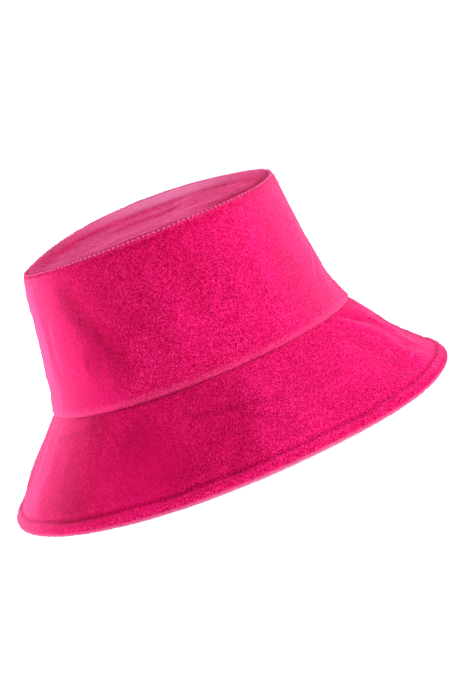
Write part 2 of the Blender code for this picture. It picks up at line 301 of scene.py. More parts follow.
def soft_zones(turn, share, listed):
    """Soft zones added up from a list: painted light and shade on tone, painted sheen, or flatness of the
    grain.
    """
    total = 0.0
    for middle, level, half, tall, amount in listed:
        total = total + amount * bell(turn, middle, half) * hump(share, level, tall)
    return total


def stroked_flat(turn, share, listed):
    """How smooth the pile lies, from 0 for open loops to 1 for no grain at all."""
    soft = 0.18 * bumps(ring_points(turn, share * 2, 3.0), 0.6, 15)
    return np.clip(soft + soft_zones(turn, share, listed), 0.0, 0.8)


def wall_form(turn, share):
    """How far the crown wall stands out from its plain cone."""
    share = np.clip(share, 0.0, 1.0)
    foot = hump(share, 0.0, 0.16)
    flare = 3.0 * MM * bell(turn, 92, 26) * foot
    middle = -0.9 * hump(share, 0.40, 0.16)
    upper = 1.2 * hump(share, 0.84, 0.14)
    lower = 1.2 * hump(share, 0.05, 0.10)
    bulge = (middle + upper + lower) * MM * bell(turn, -88, 26)
    spread = 1.6 * MM * bell(turn, 94, 30) * smooth(share, 0.45, 1.0)
    pinch = 1.0 * MM * bell(turn, -104, 24) * smooth(share, 0.8, 1.0)
    slack = 0.9 * MM * bumps(ring_points(turn, share * 1.4, 1.0), 0.55, 11) * np.sin(np.pi * share)
    ripple = 0.35 * MM * bumps(ring_points(turn, share * 1.2, 4.0), 0.7, 12) * np.sin(np.pi * share)
    return flare + bulge + spread - pinch + slack + ripple + settled_ring("wall", turn, share)


def wall_fold(turn, share):
    return folds(turn, share, WALL_FOLDS, WALL_ACROSS, WALL_UP)


def brim_form(turn, share):
    """How far the brim stands off its plain cone, square to it."""
    sag = -0.6 * MM * bell(turn, 88, 40) * np.sin(np.pi * share)
    slack = 0.9 * MM * bumps(ring_points(turn, share * 1.2, 1.2), 0.6, 21) * np.sin(np.pi * share)
    rough = bumps(ring_points(turn, share * 5, 5.0), 0.55, 22)
    rough = rough * smooth(share, 0.02, 0.3) * smooth(share, 1.0, 0.8)
    mottle = (0.22 + 0.5 * bell(turn, 70, 14) * smooth(share, 0.3, 0.5)) * MM * rough
    return sag + slack + mottle + settled_ring("brim", turn, share)


def brim_reach(turn, share):
    """How far the brim reaches past its plain cone, outwards."""
    flare = 0.9 * hump(share, 0.16, 0.14) - 2.2 * hump(share, 0.62, 0.25)
    right = (flare - 1.0 * share ** 2) * bell(turn, 88, 26) + 1.6 * share ** 2 * bell(turn, 45, 15)
    left = (1.3 * np.sin(np.pi * np.minimum(1, 1.1 * share)) - 1.4 * share ** 2) * bell(turn, -92, 26)
    return (right + left) * MM


def brim_fold(turn, share):
    return folds(turn, share, BRIM_FOLDS, BRIM_ACROSS, BRIM_UP)


def tip_fold(x, y, share):
    total = np.zeros_like(x)
    for places, width, depth, lip in TIP_FOLDS:
        total += crease(x / MM, y / MM, places, width, depth, lip)
    soft = 1.1 * bumps(np.stack([x, y, 0 * x], axis=-1), 0.045, 31)
    streaks = 0.35 * bumps(np.stack([x * 0.35 + y * 0.2, y - x * 0.3, 0 * x], axis=-1), 0.009, 32)
    return (total + soft + streaks) * MM * smooth(share, 1.0, 0.8) + settled_tip(x, y, 0.081)


def pile(points):
    """Height of the terry's looped pile over its ground cloth."""
    fine = 0.26 * bumps(points, 1.1 * MM, 41) + 0.18 * bumps(points, 2.4 * MM, 42)
    return MM * (fine + 0.12 * bumps(points, 7 * MM, 43))


# ---------------------------------------------------------------- how the cloth settles, by simulation

RING = 168
WALL_ROWS = 23
BRIM_ROWS = 17
CUT_LARGER = 0.02
SETTLE_FRAMES = 30
# The share of the free cloth's movement that is left once its interlining and stitching hold it.
WALL_SETTLES = 0.42
BRIM_SETTLES = 0.42
TIP_SETTLES = 0.22
SETTLED = {}


def skin_points():
    """Middle of the outer cloth: rings from the brim's edge up to the tip's rim, then the tip itself."""
    turn, share, quads, outline = disc_grid(RING // 4)
    around = turn[outline][:, None]
    brim_share = np.linspace(1, 0, BRIM_ROWS)
    brim = brim_points(around, 0.0, (1 - brim_share) * brim_end(0.0))
    height = SEAM_Z + np.linspace(0, 1, WALL_ROWS)[1:-1] * (rim_height(around) - SEAM_Z)
    wall = wall_points(around, height, TERRY)
    tip = tip_surface(turn, share, rim_radius(turn) - TERRY, 0.0)
    return brim, wall, tip, quads, outline


def skin_mesh():
    brim, wall, tip, quads, outline = skin_points()
    rings = beside(brim, wall)
    rows = rings.shape[1]
    index = np.arange(RING * rows).reshape(RING, rows)
    first = RING * rows
    index = beside(index, (outline + first)[:, None])
    following = np.roll(index, -1, axis=0)
    faces = quads_of(index[:, :-1], following[:, :-1], following[:, 1:], index[:, 1:])
    faces += (quads + first).tolist()
    mesh = bpy.data.meshes.new("skin")
    mesh.from_pydata(np.concatenate([rings.reshape(-1, 3), tip]).tolist(), [], faces)
    return mesh, index, first


def settled_skin():
    """Start and end places of the outer cloth: cut a little large, held at its seams and let go."""
    mesh, index, first = skin_mesh()
    skin = bpy.data.objects.new("skin", mesh)
    bpy.context.scene.collection.objects.link(skin)
    held = skin.vertex_groups.new(name="held")
    held.add(list(range(len(mesh.vertices))), 0.03, "REPLACE")
    seams = [index[:, 0], index[:, BRIM_ROWS - 1], index[:, -1]]
    held.add(np.concatenate(seams).tolist(), 1.0, "REPLACE")
    cloth = skin.modifiers.new("settle", "CLOTH")
    cloth.settings.quality = 6
    cloth.settings.mass = 0.02
    cloth.settings.tension_stiffness = 30
    cloth.settings.compression_stiffness = 30
    cloth.settings.shear_stiffness = 12
    cloth.settings.bending_stiffness = 0.4
    cloth.settings.shrink_min = -CUT_LARGER
    cloth.settings.vertex_group_mass = "held"
    cloth.settings.pin_stiffness = 1.0
    cloth.collision_settings.use_collision = False
    cloth.point_cache.frame_end = SETTLE_FRAMES
    start = np.array([v.co for v in mesh.vertices])
    scene = bpy.context.scene
    for step in range(1, SETTLE_FRAMES + 1):
        scene.frame_set(step)
    shown = skin.evaluated_get(bpy.context.evaluated_depsgraph_get())
    end = np.array([v.co for v in shown.data.vertices])
    scene.frame_set(1)
    bpy.data.objects.remove(skin)
    bpy.data.meshes.remove(mesh)
    return start, end, index, first


def settle():
    """Keeps how far the simulated cloth moved off its plain shape, in metres, for every layer to follow."""
    start, end, index, first = settled_skin()
    moved = end - start
    reach = np.maximum(np.hypot(start[:, 0], start[:, 1]), 1e-6)
    outward = (moved[:, 0] * start[:, 0] + moved[:, 1] * start[:, 1]) / reach
    off_brim = outward * OFF_BRIM[0] + moved[:, 2] * OFF_BRIM[1]
    brim, wall = off_brim[index[:, :BRIM_ROWS]], outward[index[:, BRIM_ROWS - 1 :]]
    SETTLED["brim"] = BRIM_SETTLES * (brim - brim.mean(axis=0))[:, ::-1]
    SETTLED["wall"] = WALL_SETTLES * (wall - wall.mean(axis=0))
    side = RING // 4 + 1
    SETTLED["tip"] = TIP_SETTLES * moved[first:, 2].reshape(side, side)


def curve_weights(part):
    """Weights of four neighbours for a smooth curve through a row of values."""
    rest = 1 - part
    return (
        rest ** 3 / 6,
        (3 * part ** 3 - 6 * part ** 2 + 4) / 6,
        (3 * rest ** 3 - 6 * rest ** 2 + 4) / 6,
        part ** 3 / 6,
    )


def sampled(field, across, up, wrap):
    """A field read between its rows and columns."""
    across, up = np.broadcast_arrays(across, up)
    first, second = np.floor(across).astype(int), np.floor(up).astype(int)
    total = 0.0
    for i, weight in enumerate(curve_weights(across - first)):
        column = first + i - 1
        column = column % field.shape[0] if wrap else np.clip(column, 0, field.shape[0] - 1)
        for j, other in enumerate(curve_weights(up - second)):
            total = total + weight * other * field[column, np.clip(second + j - 1, 0, field.shape[1] - 1)]
    return total


def settled_ring(name, turn, share):
    """What the simulation adds on the crown wall or the brim."""
    if name not in SETTLED:
        return 0.0
    field = SETTLED[name]
    column = (turn + math.pi / 4) / (2 * math.pi) * RING
    return sampled(field, column, share * (field.shape[1] - 1), wrap=True)


def settled_tip(x, y, reach):
    """What the simulation adds on the tip, read on its square grid."""
    if "tip" not in SETTLED:
        return 0.0
    field = SETTLED["tip"]
    share = np.clip(np.hypot(x, y) / reach, 0.0, 1.0)
    angle = (np.arctan2(y, x) + math.pi / 4) % (2 * math.pi)
    sector = np.minimum(np.floor(angle / (math.pi / 2)).astype(int), 3)
    within = share * ((angle - sector * math.pi / 2) / (math.pi / 4) - 1)
    a = np.choose(sector, [share, -within, -share, within])
    b = np.choose(sector, [within, share, -within, -share])
    half = (field.shape[0] - 1) / 2
    return sampled(field, (a + 1) * half, (b + 1) * half, wrap=False)


# ---------------------------------------------------------------- the hat's surfaces

def polar(turn, radius, height):
    """Points at these turns, radii and heights."""
    turn, radius, height = np.broadcast_arrays(turn, radius, height)
    return np.stack([radius * np.sin(turn), -radius * np.cos(turn), height], axis=-1)


def rim_height(turn):
    slumped = -2.0 * MM * bell(turn, -104, 30) + 1.2 * MM * bell(turn, 96, 26)
    return RIM_MEAN - RIM_RISE * np.cos(turn) + RIM_SADDLE * np.cos(2 * turn) + slumped


def wall_radius(height):
    return FOOT[0] - WALL_SLOPE * (np.maximum(height, SEAM_Z) - FOOT[1])


def wall_share(turn, height):
    return (height - SEAM_Z) / (rim_height(turn) - SEAM_Z)


def wall_places(turn, height, depth):
    """Radius on the crown wall, depth inside its outer face, following its form and folds."""
    share = wall_share(turn, height)
    inside = np.clip(share, 0, 1)
    return wall_radius(height) + wall_form(turn, inside) + wall_fold(turn, inside) - depth


def wall_points(turn, height, depth):
    return polar(turn, wall_places(turn, height, depth), height)


def rim_radius(turn):
    return wall_places(turn, rim_height(turn) - TIP_CORNER, 0.0)


def brim_end(offset):
    """How far up the brim a surface runs before it meets the head seam or the lining."""
    start = (BRIM_EDGE[0] + offset * OFF_BRIM[0], BRIM_EDGE[1] + offset * OFF_BRIM[1])
    to_seam = (SEAM_Z - start[1]) / UP_BRIM[1]
    to_lining = (start[0] - (FOOT[0] - LINING_DEPTH)) / -UP_BRIM[0]
    return min(to_seam, to_lining)


def brim_places(turn, offset, along):
    """Radius and height on the brim: offset from its middle layer, along from the edge's centre."""
    length = brim_end(0.0)
    share = np.clip(1 - along / length, 0.0, 1.0)
    lift = offset + (brim_form(turn, share) + brim_fold(turn, share)) * smooth(share, 0.0, 0.08)
    shift = wall_form(turn, 0.0) * (1 - share) ** 2 + brim_reach(turn, share)
    radius = BRIM_EDGE[0] + lift * OFF_BRIM[0] + along * UP_BRIM[0] + shift
    rise = 1.2 * MM * bell(turn, 14, 30) * smooth(share, 0.4, 1.0)
    return radius, BRIM_EDGE[1] + lift * OFF_BRIM[1] + along * UP_BRIM[1] + rise


def brim_points(turn, offset, along):
    return polar(turn, *brim_places(turn, offset, along))


def brim_edge_points(turn, reach, angle):
    """Points round the brim's edge, reach from its centre."""
    radius, height = brim_places(turn, 0.0, 0.0 * angle)
    return polar(turn, radius + reach * np.cos(angle), height + reach * np.sin(angle))


# ---------------------------------------------------------------- meshes

def beside(*parts):
    """Several grids as one: at each turn, the points or values of each part in order."""
    return np.concatenate(parts, axis=1)


def quads_of(*corners):
    """Four-cornered faces, from four equal grids of point numbers."""
    return np.stack(corners, axis=-1).reshape(-1, 4).tolist()


def piece(name, points, faces, look, tone=1.0, painted_sheen=0.0, flat=0.0):
    """A closed mesh facing out. Tone paints light and shade on its pile, the sheen value mixes in a pale
    painted sheen, flat smooths it.
    """
    mesh = bpy.data.meshes.new(name)
    mesh.from_pydata(points.tolist(), [], faces)
    for title, value in (("tone", tone), ("painted_sheen", painted_sheen), ("flat", flat)):
        spread = np.broadcast_to(np.asarray(value, np.float32), len(points)).copy()
        mesh.attributes.new(title, "FLOAT", "POINT").data.foreach_set("value", spread)
    shape = bmesh.new()
    shape.from_mesh(mesh)
    bmesh.ops.recalc_face_normals(shape, faces=shape.faces)
    shape.to_mesh(mesh)
    shape.free()
    mesh.shade_smooth()
    mesh.set_sharp_from_angle(angle=math.radians(75))
    mesh.materials.append(look)
    made = bpy.data.objects.new(name, mesh)
    bpy.context.scene.collection.objects.link(made)
    return made


def over_section(columns, value, plain):
    """A value for every point of the columns, given for the first points of each section."""
    whole = np.full(columns.shape[:2], plain)
    if value is not None:
        whole[:, : value.shape[1]] = value
    return whole.ravel()


def swept(name, columns, look, ring, tone=None, painted_sheen=None, flat=None):
    """Joins columns of points, each a closed section, into a ring or into a panel with closed ends."""
    count, size = columns.shape[:2]
    index = np.arange(count * size).reshape(count, size)
    following = np.roll(index, -1, axis=0) if ring else index[1:]
    here = index if ring else index[:-1]
    faces = quads_of(here, np.roll(here, -1, axis=1), np.roll(following, -1, axis=1), following)
    if not ring:
        faces += [index[0].tolist(), index[-1].tolist()]
    tone = over_section(columns, tone, 1.0)
    painted_sheen = over_section(columns, painted_sheen, 0.0)
    flat = over_section(columns, flat, 0.0)
    return piece(name, columns.reshape(-1, 3), faces, look, tone, painted_sheen, flat)


def half_turns(side, radius, cell):
    """Turns across the front (side -1) or back (side 1) panel, closer together at its side seams."""
    end = math.pi / 2 - SIDE_OPENING / 2 / radius
    count = int(2 * end * radius / cell)
    even = np.linspace(-end, end, count)
    close = np.array([0.25, 0.6]) * (even[1] - even[0])
    turns = np.concatenate([even[:1], -end + close, even[1:-1], end - close[::-1], even[-1:]])
    return turns if side < 0 else turns + math.pi


def seam_dip(turn, radius):
    """How far the cloth dips into a side seam, which is at a quarter turn each way."""
    away = np.abs(wrapped(2 * turn + math.pi)) / 2 * radius
    return 0.9 * MM * np.exp(-away / (0.9 * MM)) + 0.35 * MM * hump(away, 0.0, 4 * MM)


def wall_crest(turn, top, dip):
    """The terry turned over at the tip's rim, scalloped by its stitches, with painted highlights on the
    scallops, painted shade on its inner side and painted pale light along the far side.
    """
    bend = np.radians([15, 30, 45, 60, 75, 90, 104, 116])[None, :]
    scallops = round(2 * math.pi * RIM_SEAM_RADIUS / (2.4 * MM))
    scallop = 0.22 * MM * np.cos(turn * scallops) * smooth(bend, 0.0, 0.8)
    radius = wall_places(turn, top, RIM_TURN) + (RIM_TURN - dip) * np.cos(bend)
    height = top + RIM_TURN * np.sin(bend)
    grown = pile(polar(turn, radius, height)) + scallop
    grown = grown * smooth(bend, math.radians(116), math.radians(95))
    # painted light and shade: highlights on the scallop tops, shade on the crest's inner side, and pale
    # light and sheen along the far side
    far = bell(turn, 170, 72)
    tone = 0.86 + 0.5 * scallop / MM - 0.34 * smooth(bend, 1.05, 1.6) * (1 - far) + 0.45 * far
    painted_sheen = (0.10 + 0.18 * scallop / (0.22 * MM)) * hump(bend, 0.9, 0.4) + 0.75 * far
    return polar(turn, radius + grown * np.cos(bend), height + grown * np.sin(bend)), tone, painted_sheen


def wall_panel(name, side, look):
    """The terry wall: rolled in at the head seam, turned over at the rim, dipping into the side seams."""
    turn = half_turns(side, MEAN_WALL_RADIUS, CELL)[:, None]
    base, top = SEAM_Z - 0.7 * MM, rim_height(turn) - RIM_TURN
    steps = np.concatenate([[0, 0.25, 0.6, 1.1], np.linspace(2.0, 86.0, round(84 * MM / CELL))]) * MM
    height = base + steps / steps[-1] * (top - base)
    from_foot, from_top = height - base, top - height
    curled = 1.2 * MM
    roll = curled - np.sqrt(np.maximum(0, curled ** 2 - np.maximum(0, curled - from_foot) ** 2))
    puff = 0.8 * MM * hump(from_foot, 2.2 * MM, 2.0 * MM)
    dip = seam_dip(turn, MEAN_WALL_RADIUS)
    share = wall_share(turn, height)
    depth = roll - puff + dip
    fluff = pile(wall_points(turn, height, depth)) * smooth(from_foot, 0, 1.5 * MM)
    outside = wall_points(turn, height, depth - fluff)
    crest, crest_tone, crest_sheen = wall_crest(turn, top, dip)
    bend, inner = np.radians([110, 60, 10])[None, :], 0.3 * MM
    centre = wall_places(turn, top, RIM_TURN)
    within = polar(turn, centre + inner * np.cos(bend), top + inner * np.sin(bend))
    shares = np.array([1, 0.85, 0.65, 0.45, 0.28, 0.14, 0.06, 0])
    inside = wall_points(turn, base + shares * (top - base), TERRY)
    # tone: painted shade in folds, side seam dips, the rolled foot and just below the crest, painted light
    # on ridges, the puffed foot and where the settled cloth stands out, and painted light and shade zones
    tone = 1 + 0.12 * wall_fold(turn, share) / MM + 0.10 * puff / MM - 0.10 * roll / MM
    tone += soft_zones(turn, share, WALL_PAINTED_SHADING) - 0.25 * dip / MM
    tone += 0.07 * settled_ring("wall", turn, share) / MM
    tone -= 0.10 * hump(from_top, 1.6 * MM, 1.6 * MM)
    # painted pale sheen on the puffed foot and along both sides
    painted_sheen = 0.12 * puff / MM + soft_zones(turn, share, WALL_PAINTED_SHEEN)
    return swept(
        name,
        beside(outside, crest, within, inside),
        look,
        ring=False,
        tone=beside(tone, crest_tone),
        painted_sheen=beside(painted_sheen, crest_sheen),
        flat=stroked_flat(turn, share, WALL_FLATTENED),
    )


def wall_layer(
    name, side, depth, thick, low_z, high_gap, look, cell=3 * MM, slack=0.0, high_z=None, rows=30
):
    """A thinner layer inside the terry wall: one panel of it, or a whole ring for side 0."""
    turn = np.linspace(0, 2 * np.pi, int(2 * np.pi * TAPE_RADIUS / cell), endpoint=False)[:, None]
    if side:
        turn = half_turns(side, MEAN_WALL_RADIUS, cell)[:, None]
    top = rim_height(turn) - high_gap if high_z is None else np.full_like(turn, high_z)
    height = low_z + np.linspace(0, 1, rows) * (top - low_z)
    loose = 0.0
    if slack:
        field = bumps(ring_points(turn, height / 0.030, 6.0), 1.0, 51)
        field = field + 0.6 * bumps(ring_points(turn, height / 0.016, 14.0), 1.0, 52)
        held = smooth(height, SEAM_Z + 24 * MM, SEAM_Z + 34 * MM) * smooth(top - height, 2 * MM, 10 * MM)
        loose = slack * (0.55 + 0.45 * field) * held
    outer = wall_points(turn, height, depth + loose)
    inner = wall_points(turn, height, depth + thick + loose)
    return swept(name, beside(outer, inner[:, ::-1]), look, ring=not side)


def edge_seam(turn):
    """How far up the brim the stitches along its edge run, wavering a little."""
    return STITCH_INSET - BRIM_HALF + 0.5 * MM * bumps(ring_points(turn, 0.0, 9.0), 1.0, 61)


def brim_top(name, side, look):
    """The upper terry: down the brim from the head seam, round its edge and a little way back under it."""
    turn = half_turns(side, MEAN_BRIM_RADIUS, CELL)[:, None]
    start, dip, stitch = brim_end(BRIM_HALF), seam_dip(turn, MEAN_BRIM_RADIUS), edge_seam(turn)
    along = np.concatenate([np.linspace(start, 9 * MM, 46), np.linspace(8.2 * MM, 0.6 * MM, 12)])
    pull = 0.75 + 0.25 * np.cos(turn * stitches(EDGE_SEAM_RADIUS))
    groove = 1.0 * MM * pull * hump(along, stitch, 1.4 * MM)
    puff = 0.45 * MM * smooth(along, stitch - 0.5 * MM, stitch - 3 * MM)
    puff = puff + 0.3 * MM * hump(along - stitch, 3 * MM, 2 * MM)
    offset = BRIM_HALF - groove + puff - dip - 0.4 * MM * smooth(along, start - 1.5 * MM, start)
    fluff = pile(brim_points(turn, offset, along)) * smooth(along, start, start - 2 * MM)
    face = brim_points(turn, offset + fluff, along)
    turned = np.linspace(BRIM_ANGLE - math.pi / 2, BRIM_ANGLE - 3 * math.pi / 2, 13)[None, :]
    fuller = 0.45 * MM * smooth(turned, BRIM_ANGLE - 3 * math.pi / 2, BRIM_ANGLE - math.pi)
    reach = BRIM_HALF + fuller - dip
    edge = brim_edge_points(turn, reach + pile(brim_edge_points(turn, reach, turned)), turned)
    under = brim_points(turn, -BRIM_HALF, np.array([1.2, 2.4, 3.0]) * MM)
    within = brim_points(turn, TERRY - BRIM_HALF, np.array([3.0, 1.5]) * MM)
    lower = BRIM_HALF - TERRY
    inner_edge = brim_edge_points(turn, lower, turned[:, ::-2])
    inner = brim_points(turn, lower, np.linspace(2 * MM, brim_end(lower), 10))
    columns = beside(face, edge, under, within, inner_edge, inner)
    columns[..., 2] = np.maximum(columns[..., 2], 0.0)
    share = np.clip(1 - along / start, 0, 1) + 0.0 * turn
    round_edge = np.ones_like(turned * turn)
    # tone: painted shade in the stitched groove, folds and side seam dips, painted light on the puffs and
    # where the settled cloth stands out, and painted light and shade zones
    tone = 1 + 0.16 * brim_fold(turn, share) / MM + 0.25 * puff / MM - 0.30 * groove / MM
    tone += soft_zones(turn, share, BRIM_PAINTED_SHADING) - 0.25 * dip / MM
    tone += 0.07 * settled_ring("brim", turn, share) / MM
    past_edge = 0.6 * MM + BRIM_HALF * (turned - turned[:, :1])
    out = beside(along + 0.0 * turn, past_edge * round_edge)
    # painted pale sheen round the underside of the edge and on the left
    painted_sheen = 0.80 + 0.15 * bell(turn, -20, 40)
    painted_sheen = painted_sheen * smooth(out, -1.3 * MM, -4.3 * MM) * smooth(out, -8.0 * MM, -5.8 * MM)
    painted_sheen += soft_zones(turn, beside(share, round_edge), BRIM_PAINTED_SHEEN)
    return swept(
        name,
        columns,
        look,
        ring=False,
        tone=beside(tone, round_edge),
        painted_sheen=painted_sheen,
        flat=stroked_flat(turn, share, BRIM_FLATTENED),
    )


def brim_under(name, side, look):
    """The under brim: from behind the upper terry's turned edge up to the head seam."""
    turn = half_turns(side, MEAN_BRIM_RADIUS, CELL)[:, None]
    first, last = 3.4 * MM, brim_end(-BRIM_HALF)
    along = np.concatenate([np.linspace(first, 9 * MM, 9), np.linspace(10.2 * MM, last, 40)])
    groove = 1.2 * MM * hump(along, edge_seam(turn), 1.1 * MM)
    lip = 1.0 * MM * np.exp(-(along - first) / (0.7 * MM))
    offset = BRIM_HALF - groove - lip - seam_dip(turn, MEAN_BRIM_RADIUS)
    fluff = pile(brim_points(turn, -offset, along) + 0.5) * smooth(along, last, last - 2 * MM)
    face = brim_points(turn, -offset - fluff, along)
    upper = TERRY - BRIM_HALF
    inner = brim_points(turn, upper, np.linspace(brim_end(upper), first, 10))
    return swept(name, beside(face, inner), look, ring=False)


def brim_stiffener(name, side, look):
    """The interlining between the brim's two terries."""
    turn = half_turns(side, MEAN_BRIM_RADIUS, 3 * MM)[:, None]
    half = 0.4 * MM
    upper = brim_points(turn, half, np.linspace(0.6 * MM, brim_end(half), 24))
    lower = brim_points(turn, -half, np.linspace(brim_end(-half), 0.6 * MM, 24))
    return swept(name, beside(upper, lower), look, ring=False)


def disc_grid(count):
    """An even grid over the unit disc: turns, shares of the radius, quads and the outline in order."""
    side = np.linspace(-1, 1, count + 1)
    a, b = np.meshgrid(side, side, indexing="ij")
    wide = np.abs(a) >= np.abs(b)
    share = np.where(wide, np.abs(a), np.abs(b))
    slope = np.divide(np.where(wide, b, a), np.where(wide, a, b), out=np.zeros_like(a), where=share > 0)
    from_x = np.where(a > 0, 0.0, np.pi) + slope * np.pi / 4
    from_y = np.where(b > 0, 0.5, 1.5) * np.pi - slope * np.pi / 4
    turn = np.where(wide, from_x, from_y) + np.pi / 2
    index = np.arange((count + 1) ** 2).reshape(count + 1, count + 1)
    quads = np.array(quads_of(index[:-1, :-1], index[1:, :-1], index[1:, 1:], index[:-1, 1:]))
    outline = np.concatenate([index[:-1, 0], index[-1, :-1], index[:0:-1, -1], index[0, :0:-1]])
    return turn.ravel(), share.ravel(), quads, outline


def tip_surface(turn, share, edge, depth):
    """Points of the tip inside its rounded rim, share of the way out to edge."""
    radius = share * edge
    whole = rim_radius(turn) - TIP_CORNER
    hollow = 0.36 + 0.64 * bell(turn, 168, 62) + 0.25 * bell(turn, 70, 40)
    slope = hollow * smooth(whole - radius, 0.0, DISH_WIDTH * (2.0 - hollow))
    tilt = (rim_height(turn) - RIM_MEAN) * np.minimum(1.0, radius / whole) ** 1.5
    x, y = radius * np.sin(turn), -radius * np.cos(turn)
    height = RIM_MEAN + tilt - DISH * slope + tip_fold(x, y, np.clip(radius / whole, 0, 1)) - depth
    return np.stack([x, y, height], axis=-1)


def tip_cloth(name, look):
    """The terry tip: dished, with its edge turned down into the seam inside the wall's rolled rim."""
    width, cell = 158 * MM, 1.12 * CELL
    turn, share, quads, outline = disc_grid(round(width / cell))
    edge = rim_radius(turn) - TIP_EDGE
    turned = 1.1 * MM
    top = tip_surface(turn, share, edge - turned, 0.0)
    top[:, 2] += pile(top)
    foot = tip_surface(turn, share, edge - turned, TERRY)
    around = turn[outline][:, None]
    centre_r, centre_z = edge[outline][:, None] - turned, top[outline, 2][:, None] - turned
    angles = np.radians([65, 40, 15, -15])[None, :]
    rolled = polar(around, centre_r + turned * np.cos(angles), centre_z + turned * np.sin(angles))
    points = [top, foot, rolled.reshape(-1, 3)]
    faces = quads.tolist() + (quads[:, ::-1] + len(top)).tolist()
    size, rows = len(outline), angles.shape[1]
    first = 2 * len(top)
    band = [outline] + [first + np.arange(size) * rows + row for row in range(rows)] + [outline + len(top)]
    for here, there in zip(band, band[1:]):
        faces += quads_of(here, np.roll(here, -1), np.roll(there, -1), there)
    x, y = top[:, 0], top[:, 1]
    tone = np.ones(sum(len(p) for p in points))
    # tone: painted shade and light over the tip's folds, and painted shade along the listed tip paths
    tone[: len(top)] = 1.03 + 0.08 * tip_fold(x, y, share) / MM
    for places, wide, darker in TIP_PAINTED_SHADE:
        tone[: len(top)] += crease(x / MM, y / MM, places, wide, darker)
    painted_sheen = np.zeros_like(tone)
    # painted pale sheen and light on the far rim's slope, painted shade behind the near rim and on the
    # turned-down edge
    far = bell(turn, 168, 48)
    from_rim = edge * (1 - share)
    near = bell(turn, 4, 88) * smooth(from_rim, 46 * MM, 26 * MM)
    painted_sheen[: len(top)] = 0.80 * smooth(from_rim, DISH_WIDTH, 0.4 * DISH_WIDTH) * far + 0.055 * (1 - near)
    tone[: len(top)] -= 0.10 * smooth(from_rim, 14 * MM, 3 * MM) * (1 - far) + 0.32 * near
    painted_sheen[first:] = 0.03
    tone[first:] = 0.60
    return piece(name, np.concatenate(points), faces, look, tone, painted_sheen)


def tip_layer(name, depth, thick, inset, look, slack=0.0, count=50):
    """A thinner layer below the terry tip."""
    turn, share, quads, outline = disc_grid(count)
    edge = rim_radius(turn) - inset
    top = tip_surface(turn, share, edge, depth)
    foot = tip_surface(turn, share, edge, depth + thick)
    if slack:
        field = bumps(np.stack([top[:, 0], top[:, 1], 0 * top[:, 0]], axis=-1), 0.018, 71)
        sag = slack * (0.5 + 0.5 * field) * smooth(share, 1.0, 0.75)
        top[:, 2] -= sag
        foot[:, 2] -= sag
    faces = quads.tolist() + (quads[:, ::-1] + len(top)).tolist()
    below = outline + len(top)
    faces += quads_of(outline, np.roll(outline, -1), np.roll(below, -1), below)
    return piece(name, np.concatenate([top, foot]), faces, look)


def stitches(radius):
    return round(2 * math.pi * radius / STITCH_LENGTH)


def stitch_row(name, line, count, look, fill=0.78):
    """Separate stitches along line(turn) -> (radius, height, outward radius step, outward height step)."""
    thick, sink, wander = 0.5 * MM, 0.35 * MM, 0.12 * MM
    middles = (np.arange(count) + 0.5) * 2 * math.pi / count
    parts = np.array([-0.5, -0.36, 0.0, 0.36, 0.5])
    bulge = np.array([0.45, 0.90, 1.05, 0.90, 0.45])[None, :, None] * thick / 2
    dive = np.array([1.0, 0.35, 0.0, 0.35, 1.0])[None, :, None] * sink
    turns = middles[:, None] + parts * fill * 2 * math.pi / count
    radius, height, out_r, out_z = line(turns)
    sway = wander * bumps(ring_points(turns, 0.0, 60.0), 1.0, 81)
    around = np.radians(np.arange(0, 360, 72))
    lift = bulge * np.cos(around) - dive
    swing = bulge * np.sin(around) + sway[..., None]
    ring_r = radius[..., None] + lift * out_r - swing * out_z
    ring_z = height[..., None] + lift * out_z + swing * out_r
    points = polar(turns[..., None], ring_r, ring_z)
    rows, sides = len(parts), len(around)
    index = np.arange(rows * sides).reshape(rows, sides)
    one = quads_of(index[:-1], np.roll(index[:-1], -1, 1), np.roll(index[1:], -1, 1), index[1:])
    one += [index[0].tolist(), index[-1].tolist()]
    faces = [[corner + step * rows * sides for corner in face] for step in range(count) for face in one]
    return piece(name, points.reshape(-1, 3), faces, look)


# ---------------------------------------------------------------- materials

PINK = (0.86, 0.0070, 0.145)
# the loops' grain painted in lit, half-shaded and shaded copies of the pink, then their average and a pale
# painted sheen
LOOP_HIGHLIGHT = (1.0, 0.0380, 0.260)
LOOP_HALF_SHADE = (0.74, 0.0080, 0.134)
LOOP_SHADE = (0.50, 0.0018, 0.074)
LOOP_MEAN = (0.63, 0.0070, 0.118)
PAINTED_SHEEN_PINK = (1.0, 0.2600, 0.520)


def material(name, colour, roughness, sheen=0.0, sheen_roughness=0.4, tint=(1, 1, 1)):
    """A matte material, with its node tree and shader."""
    made = bpy.data.materials.new(name)
    made.use_nodes = True
    shader = made.node_tree.nodes["Principled BSDF"]
    shader.inputs["Base Color"].default_value = (*colour, 1)
    shader.inputs["Roughness"].default_value = roughness
    shader.inputs["Specular IOR Level"].default_value = 0.0
    shader.inputs["Sheen Weight"].default_value = sheen
    shader.inputs["Sheen Roughness"].default_value = sheen_roughness
    shader.inputs["Sheen Tint"].default_value = (*tint, 1)
    made.diffuse_color = (*colour, 1)
    return made, made.node_tree, shader


def texture(tree, kind, scale, detail=2.0, **values):
    """A procedural texture in the hat's own coordinates, with bumps one over scale across."""
    node = tree.nodes.new(kind)
    places = tree.nodes.new("ShaderNodeTexCoord")
    tree.links.new(places.outputs["Object"], node.inputs["Vector"])
    node.inputs["Scale"].default_value = scale
    if "Detail" in node.inputs:
        node.inputs["Detail"].default_value = detail
    for name, value in values.items():
        node.inputs[name].default_value = value
    return node


